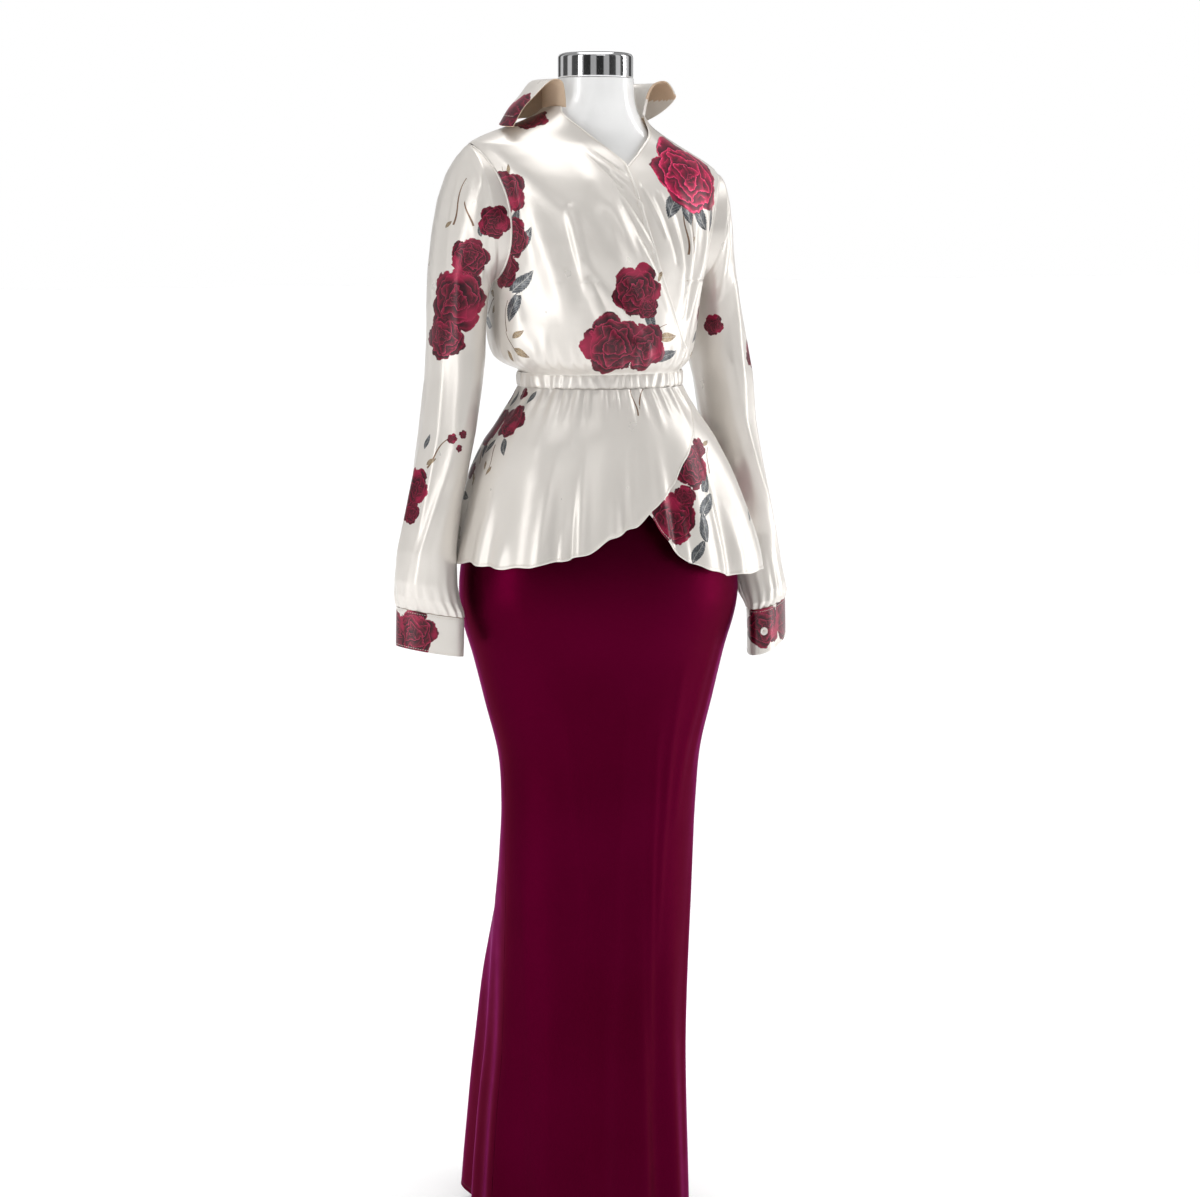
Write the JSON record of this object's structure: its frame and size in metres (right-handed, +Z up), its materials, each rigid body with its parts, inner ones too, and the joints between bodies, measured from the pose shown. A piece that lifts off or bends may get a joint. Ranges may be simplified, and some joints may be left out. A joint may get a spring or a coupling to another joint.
{
  "type": "wrap peplum top and mermaid skirt set on a dress form with stand",
  "caption": "Long-sleeved satin wrap blouse with a gathered waist and peplum over a long mermaid skirt, worn by a limbless dress form on a pole and round base.",
  "frame": {"origin": "middle of the underside of the stand's round base", "axes": "+Z up along the pole, the form faces -Y, the wearer's left is +X"},
  "size_m": [0.5658, 0.4636, 1.5923],
  "materials": {
    "ivory_satin": "ivory satin printed with crimson roses and grey leaves",
    "burgundy_satin": "deep burgundy satin",
    "pearl_button": "pearl",
    "form_white": "white gloss",
    "chrome_cap": "polished",
    "stand_steel": "brushed"
  },
  "bodies": {
    "root": {"bodice_right_front": "ivory_satin", "bodice_left_front": "ivory_satin", "bodice_back": "ivory_satin", "collar": "ivory_satin", "blouse_waistband": "ivory_satin", "peplum_right_front": "ivory_satin", "peplum_left_front": "ivory_satin", "peplum_back": "ivory_satin", "sleeve_right": "ivory_satin", "sleeve_left": "ivory_satin", "cuff_right": "ivory_satin", "cuff_left": "ivory_satin", "cuff_button_right": "pearl_button", "cuff_button_left": "pearl_button", "skirt_front": "burgundy_satin", "skirt_back": "burgundy_satin", "skirt_waistband": "burgundy_satin", "form_body": "form_white", "neck_cap": "chrome_cap", "stand_pole": "stand_steel", "stand_base": "stand_steel"}
  },
  "joints": []
}
